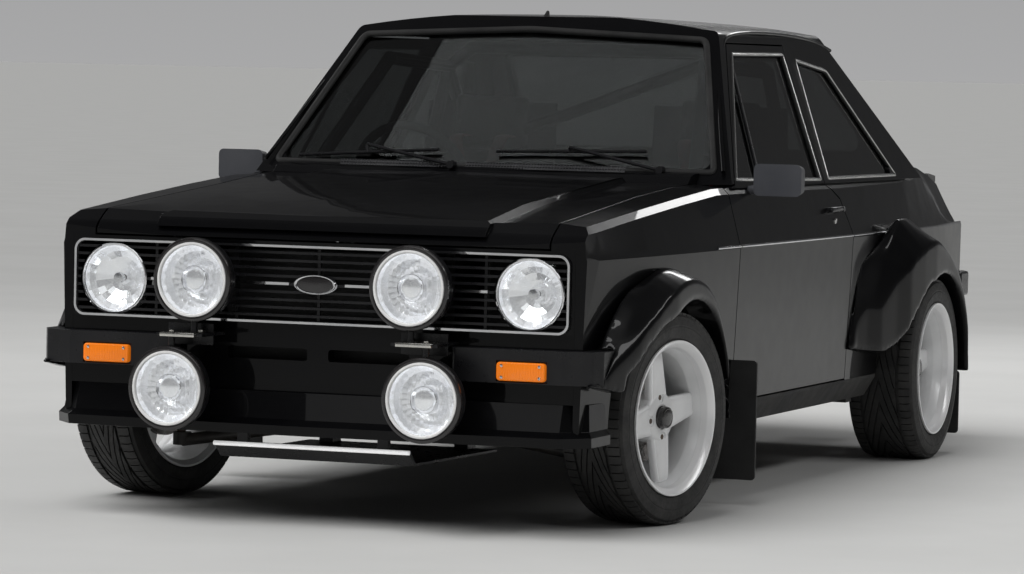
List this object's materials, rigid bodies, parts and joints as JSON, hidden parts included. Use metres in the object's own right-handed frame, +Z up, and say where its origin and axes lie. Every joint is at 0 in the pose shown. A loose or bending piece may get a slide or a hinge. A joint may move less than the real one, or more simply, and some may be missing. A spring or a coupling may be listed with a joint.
{
  "type": "rally car",
  "caption": "Two-door rally saloon with flared arches, round lamps, an air dam, deep spoked wheels, a roll cage and opening doors and lids.",
  "frame": {"origin": "on the ground under the middle of the car's box", "axes": "+Z up, -Y towards the nose, +X to the car's left"},
  "size_m": [1.81, 4.0387, 1.378],
  "materials": {
    "body_paint": "gloss",
    "underbody": "satin",
    "black_trim": "matte",
    "bright_trim": "polished",
    "glass": "clear",
    "lamp_glass": "fluted",
    "amber_lens": "gloss",
    "red_lens": "gloss",
    "tyre": "matte",
    "wheel_silver": "satin painted",
    "steel": "satin",
    "iron": "rough",
    "rubber": "matte",
    "seat_fabric": "woven",
    "cage_paint": "satin",
    "guard": "brushed"
  },
  "bodies": {
    "car_body": {"dashboard": "black_trim", "driving_lamps": "black_trim", "engine": "iron", "exhaust": "steel", "fixed_windows": "glass", "floor_pan": "underbody", "front_arches": "body_paint", "front_bumpers": "black_trim", "front_crossmember": "iron", "front_panel": "body_paint", "front_spoiler": "black_trim", "front_wings": "body_paint", "grille": "black_trim", "grille_trim": "bright_trim", "headlamps": "bright_trim", "indicators": "amber_lens", "inner_wings": "underbody", "lamp_brackets": "bright_trim", "lamp_glasses": "lamp_glass", "leaf_springs": "iron", "mud_flaps": "rubber", "radiator": "iron", "rear_arches": "body_paint", "rear_axle": "iron", "rear_body": "body_paint", "rear_bumpers": "black_trim", "roll_cage": "cage_paint", "roof": "body_paint", "scuttle": "body_paint", "seats": "seat_fabric", "sump_guard": "guard", "tail_lamps": "red_lens", "tail_panel": "body_paint", "wipers": "black_trim"},
    "knuckle_left": {"upright_left": "steel"},
    "knuckle_right": {"upright_right": "steel"},
    "front_left_wheel": {"tyre_front_left": "tyre", "wheel_front_left": "wheel_silver"},
    "front_right_wheel": {"tyre_front_right": "tyre", "wheel_front_right": "wheel_silver"},
    "rear_left_wheel": {"tyre_rear_left": "tyre", "wheel_rear_left": "wheel_silver"},
    "rear_right_wheel": {"tyre_rear_right": "tyre", "wheel_rear_right": "wheel_silver"},
    "left_door": {"door_left": "body_paint", "door_glass_left": "glass", "mirror_left": "black_trim"},
    "right_door": {"door_right": "body_paint", "door_glass_right": "glass", "mirror_right": "black_trim"},
    "bonnet_lid": {"bonnet": "body_paint"},
    "boot_cover": {"boot_lid": "body_paint"},
    "steering": {"steering_wheel": "black_trim"}
  },
  "joints": [
    {"name": "steer_left", "type": "hinge", "parent": "car_body", "child": "knuckle_left", "pos_m": [0.627, -1.2875, 0.28883], "axis": [-0.225, 0, 0.9744], "range_deg": [-18, 42]},
    {"name": "steer_right", "type": "hinge", "parent": "car_body", "child": "knuckle_right", "pos_m": [-0.627, -1.2875, 0.28883], "axis": [0.225, 0, 0.9744], "range_deg": [-18, 42]},
    {"name": "front_left_spin", "type": "hinge", "parent": "knuckle_left", "child": "front_left_wheel", "pos_m": [0.72493, -1.30776, 0.28835], "axis": [0.9793, -0.2026, -0.0048], "continuous": true},
    {"name": "front_right_spin", "type": "hinge", "parent": "knuckle_right", "child": "front_right_wheel", "pos_m": [-0.72493, -1.26724, 0.28835], "axis": [0.9793, -0.2026, 0.0048], "continuous": true},
    {"name": "rear_left_spin", "type": "hinge", "parent": "car_body", "child": "rear_left_wheel", "pos_m": [0.76, 1.1195, 0.288], "axis": [1, 0, 0], "continuous": true},
    {"name": "rear_right_spin", "type": "hinge", "parent": "car_body", "child": "rear_right_wheel", "pos_m": [-0.76, 1.1195, 0.288], "axis": [1, 0, 0], "continuous": true},
    {"name": "steering_turn", "type": "hinge", "parent": "car_body", "child": "steering", "pos_m": [-0.372, -0.2875, 0.88], "axis": [0, 0.9063, 0.4226], "range_deg": [-252, 588]},
    {"name": "left_door_hinge", "type": "hinge", "parent": "car_body", "child": "left_door", "pos_m": [0.784, -0.6745, 0.6], "axis": [0, 0, -1], "range_deg": [0, 65]},
    {"name": "right_door_hinge", "type": "hinge", "parent": "car_body", "child": "right_door", "pos_m": [-0.784, -0.6745, 0.6], "axis": [0, 0, 1], "range_deg": [0, 65]},
    {"name": "bonnet_hinge", "type": "hinge", "parent": "car_body", "child": "bonnet_lid", "pos_m": [0, -0.7475, 0.925], "axis": [-1, 0, 0], "range_deg": [0, 50]},
    {"name": "boot_hinge", "type": "hinge", "parent": "car_body", "child": "boot_cover", "pos_m": [0, 1.4875, 0.965], "axis": [1, 0, 0], "range_deg": [0, 70]}
  ],
  "couplings": [
    {"joint": "steer_right", "follows": "steer_left", "ratio": 1},
    {"joint": "steering_turn", "follows": "steer_left", "ratio": 14}
  ]
}
